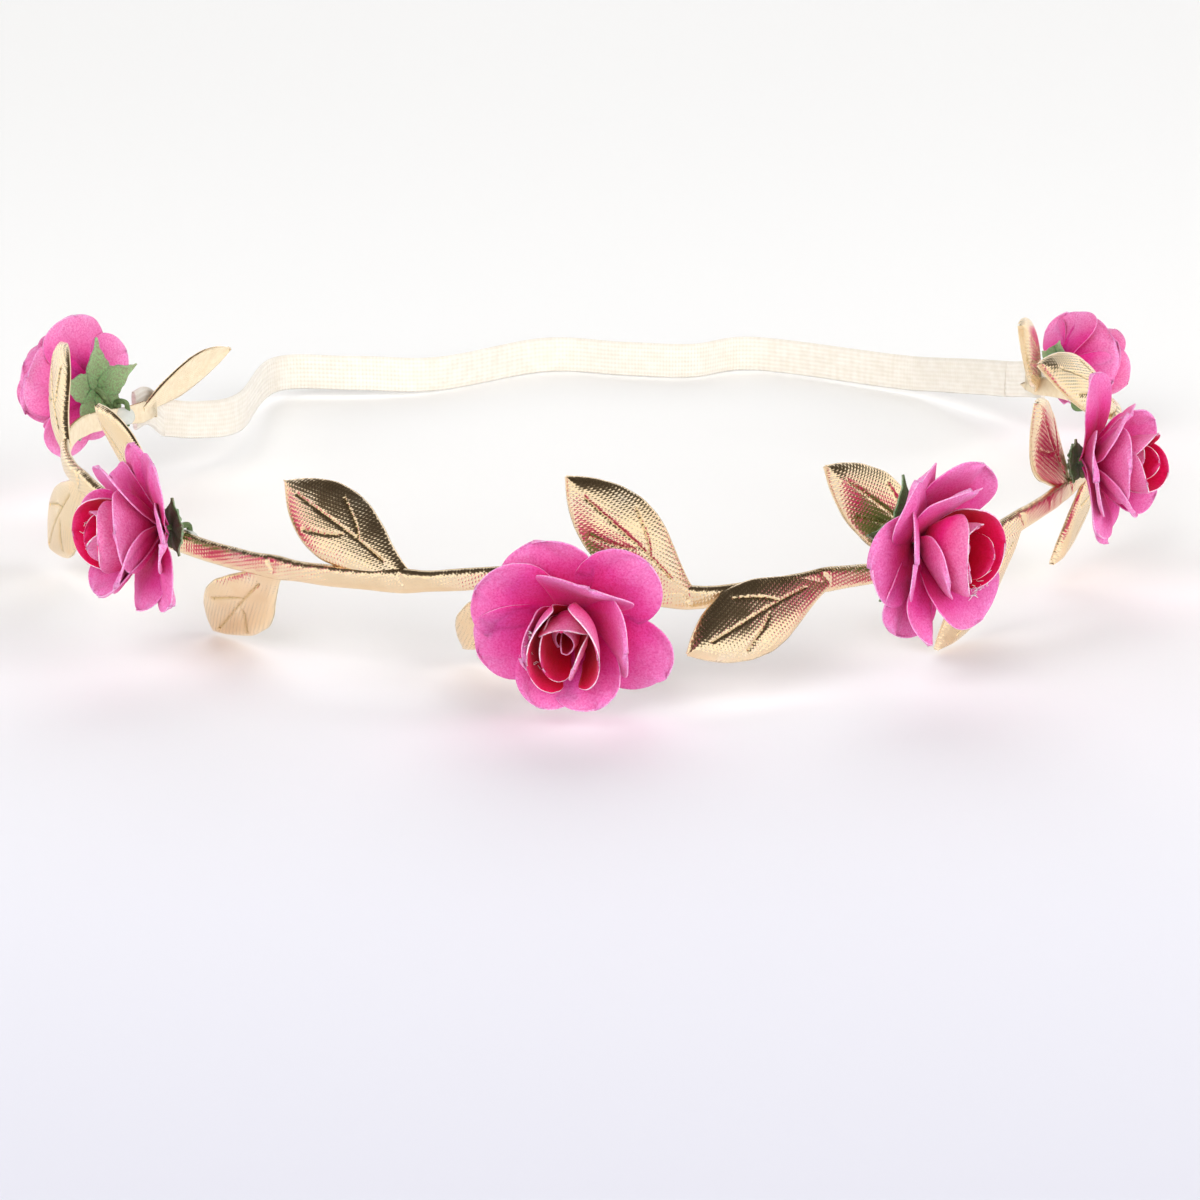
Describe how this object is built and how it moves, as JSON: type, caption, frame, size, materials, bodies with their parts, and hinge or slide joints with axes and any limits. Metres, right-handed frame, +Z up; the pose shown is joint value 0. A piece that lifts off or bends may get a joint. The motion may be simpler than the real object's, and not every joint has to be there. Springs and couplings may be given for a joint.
{
  "type": "flower crown",
  "caption": "Slender headband: a gilded leaf vine carries wired pink paper roses round the front and sides of the head and closes behind with a narrow elastic band.",
  "frame": {"origin": "middle of the crown's footprint, on the surface that it stands on", "axes": "+Z up, -Y towards the front rose, +X to the right seen from the front rose's side looking along +Y"},
  "size_m": [0.1732, 0.1802, 0.0305],
  "materials": {
    "gold_foil": "shiny pale gold foil on embossed synthetic leather",
    "cloth_backing": "matte fine cloth",
    "petal_paper": "matte dyed mulberry paper",
    "bud_paper": "matte dyed mulberry paper, deep red",
    "calyx_paper": "matte green paper",
    "green_wire": "paper-wrapped iron wire",
    "clear_glue": "cloudy hot-melt glue",
    "elastic_webbing": "matte woven elastic"
  },
  "bodies": {
    "vine_front": {"vine_front_face": "gold_foil", "vine_front_backing": "cloth_backing", "rose_front_wire": "green_wire", "rose_front_calyx": "calyx_paper", "rose_front_outer_petals": "petal_paper", "rose_front_middle_petals": "petal_paper", "rose_front_inner_petals": "petal_paper", "rose_front_bud": "bud_paper", "rose_front_glue": "clear_glue"},
    "left_side": {"vine_left_face": "gold_foil", "vine_left_backing": "cloth_backing", "rose_left_back_wire": "green_wire", "rose_left_back_calyx": "calyx_paper", "rose_left_back_outer_petals": "petal_paper", "rose_left_back_middle_petals": "petal_paper", "rose_left_back_inner_petals": "petal_paper", "rose_left_back_bud": "bud_paper", "rose_left_back_glue": "clear_glue", "rose_left_wire": "green_wire", "rose_left_calyx": "calyx_paper", "rose_left_outer_petals": "petal_paper", "rose_left_middle_petals": "petal_paper", "rose_left_inner_petals": "petal_paper", "rose_left_bud": "bud_paper", "rose_left_glue": "clear_glue", "elastic_left_tab": "elastic_webbing", "elastic_left_glue": "clear_glue"},
    "right_side": {"vine_right_face": "gold_foil", "vine_right_backing": "cloth_backing", "rose_right_wire": "green_wire", "rose_right_calyx": "calyx_paper", "rose_right_outer_petals": "petal_paper", "rose_right_middle_petals": "petal_paper", "rose_right_inner_petals": "petal_paper", "rose_right_bud": "bud_paper", "rose_right_glue": "clear_glue", "rose_right_side_wire": "green_wire", "rose_right_side_calyx": "calyx_paper", "rose_right_side_outer_petals": "petal_paper", "rose_right_side_middle_petals": "petal_paper", "rose_right_side_inner_petals": "petal_paper", "rose_right_side_bud": "bud_paper", "rose_right_side_glue": "clear_glue", "rose_right_back_wire": "green_wire", "rose_right_back_calyx": "calyx_paper", "rose_right_back_outer_petals": "petal_paper", "rose_right_back_middle_petals": "petal_paper", "rose_right_back_inner_petals": "petal_paper", "rose_right_back_bud": "bud_paper", "rose_right_back_glue": "clear_glue", "elastic_right_glue": "clear_glue", "elastic_right_tab": "elastic_webbing"},
    "elastic_back": {"elastic_band": "elastic_webbing"}
  },
  "joints": [
    {"name": "left_side_flex", "type": "hinge", "parent": "vine_front", "child": "left_side", "pos_m": [-0.03499, -0.06559, 0.014], "axis": [0, 0, 1], "range_deg": [-12, 12], "stiffness_Nm_per_rad": 0.01, "deforming": ["elastic_band"]},
    {"name": "right_side_flex", "type": "hinge", "parent": "vine_front", "child": "right_side", "pos_m": [0.03274, -0.06459, 0.0135], "axis": [0, 0, -1], "range_deg": [-12, 12], "stiffness_Nm_per_rad": 0.01, "deforming": ["elastic_band"]},
    {"name": "elastic_stretch", "type": "slide", "parent": "vine_front", "child": "elastic_back", "axis": [0, 1, 0], "range_m": [0, 0.025], "stiffness_N_per_m": 60, "deforming": ["elastic_band"]}
  ]
}
